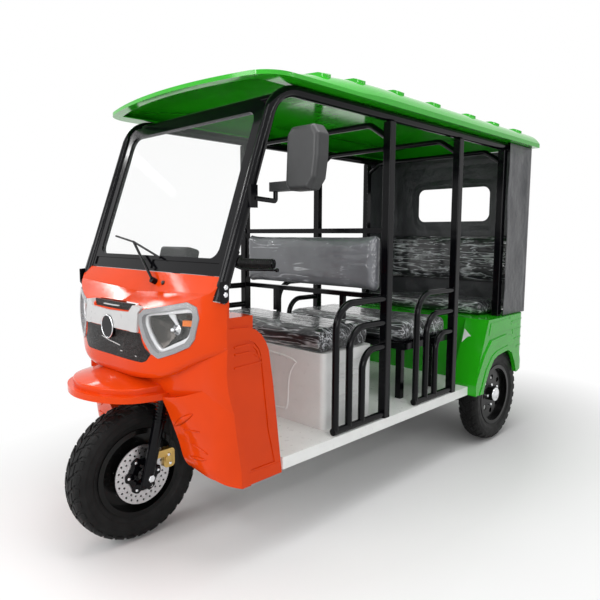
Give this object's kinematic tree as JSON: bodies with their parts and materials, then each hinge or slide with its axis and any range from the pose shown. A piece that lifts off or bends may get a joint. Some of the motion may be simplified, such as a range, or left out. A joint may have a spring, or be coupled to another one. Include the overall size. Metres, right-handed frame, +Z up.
{
  "type": "electric passenger rickshaw",
  "caption": "Electric passenger rickshaw with a steered front wheel, a driver's seat, facing benches, side guards and a ribbed roof.",
  "frame": {"origin": "on the ground under the middle of the overall box; the vehicle's own middle plane lies at y = -0.080 m, because only the left side carries a mirror", "axes": "+X forward, +Y to the vehicle's left, +Z up"},
  "size_m": [2.5549, 1.2199, 1.7499],
  "materials": {
    "orange_body": "glossy moulded body colour",
    "green_body": "glossy moulded body colour",
    "black_paint": "gloss black enamel on steel tube",
    "white_paint": "gloss white enamel",
    "black_leatherette": "black leatherette under clear wrapping",
    "grey_leatherette": "dark grey leatherette under clear wrapping",
    "canvas": "dark grey coated cloth",
    "tyre": "black rubber",
    "rim_black": "gloss black enamel",
    "steel": "ground steel",
    "glass": "clear",
    "chrome": "bright",
    "silver_trim": "silver painted plastic",
    "dark_plastic": "grained black plastic",
    "grey_plastic": "satin dark grey plastic",
    "rubber": "black rubber",
    "gold": "gold paint",
    "battery_case": "plastic cell cases"
  },
  "bodies": {
    "chassis": {"floor_deck": "white_paint", "chassis_frame": "black_paint", "bulkhead": "orange_body", "steering_head": "black_paint", "rear_axle": "black_paint", "leaf_springs": "black_paint", "battery_pack": "battery_case", "nose_cowl": "orange_body", "headlight_left": "chrome", "headlight_right": "chrome", "headlight_lens_left": "glass", "headlight_lens_right": "glass", "grille_panel": "dark_plastic", "badge": "black_paint", "garnish_bar": "silver_trim", "leg_shield_left": "orange_body", "leg_shield_right": "orange_body", "front_mudguard": "orange_body", "windscreen_frame": "black_paint", "windscreen_glass": "glass", "side_rail_left": "black_paint", "side_rail_right": "black_paint", "posts_left": "black_paint", "posts_right": "black_paint", "roof_bows": "black_paint", "roof_panel": "green_body", "guard_b_left": "black_paint", "guard_b_right": "black_paint", "guard_c_left": "black_paint", "guard_c_right": "black_paint", "seat_box": "white_paint", "driver_cushion": "black_leatherette", "backrest_frame": "black_paint", "driver_backrest": "grey_leatherette", "bench_frame": "black_paint", "bench_cushion": "black_leatherette", "rear_cushion": "black_leatherette", "rear_backrest": "grey_leatherette", "rear_tub": "green_body", "rear_fender_left": "green_body", "rear_fender_right": "green_body", "canvas_left": "canvas", "canvas_right": "canvas", "canvas_rear": "canvas", "mirror_housing": "grey_plastic", "mirror_arm": "black_paint", "wiper": "black_paint"},
    "steering": {"fork": "black_paint", "handlebar": "black_paint", "dash_pod": "dark_plastic", "brake_caliper": "gold", "brake_hose": "rubber"},
    "front_wheel": {"front_tyre": "tyre", "front_rim": "rim_black", "brake_disc": "steel"},
    "rear_left_wheel": {"rear_tyre_left": "tyre", "rear_rim_left": "rim_black"},
    "rear_right_wheel": {"rear_tyre_right": "tyre", "rear_rim_right": "rim_black"}
  },
  "joints": [
    {"name": "steering", "type": "hinge", "parent": "chassis", "child": "steering", "pos_m": [1.0215, -0.08, 0.256], "axis": [-0.2588, 0, 0.9659], "range_deg": [-30, 30]},
    {"name": "front_wheel_spin", "type": "hinge", "parent": "steering", "child": "front_wheel", "pos_m": [1.0215, -0.08, 0.256], "axis": [0, 1, 0], "continuous": true},
    {"name": "rear_left_wheel_spin", "type": "hinge", "parent": "chassis", "child": "rear_left_wheel", "pos_m": [-0.9125, 0.375, 0.256], "axis": [0, 1, 0], "continuous": true},
    {"name": "rear_right_wheel_spin", "type": "hinge", "parent": "chassis", "child": "rear_right_wheel", "pos_m": [-0.9125, -0.535, 0.256], "axis": [0, 1, 0], "continuous": true}
  ]
}
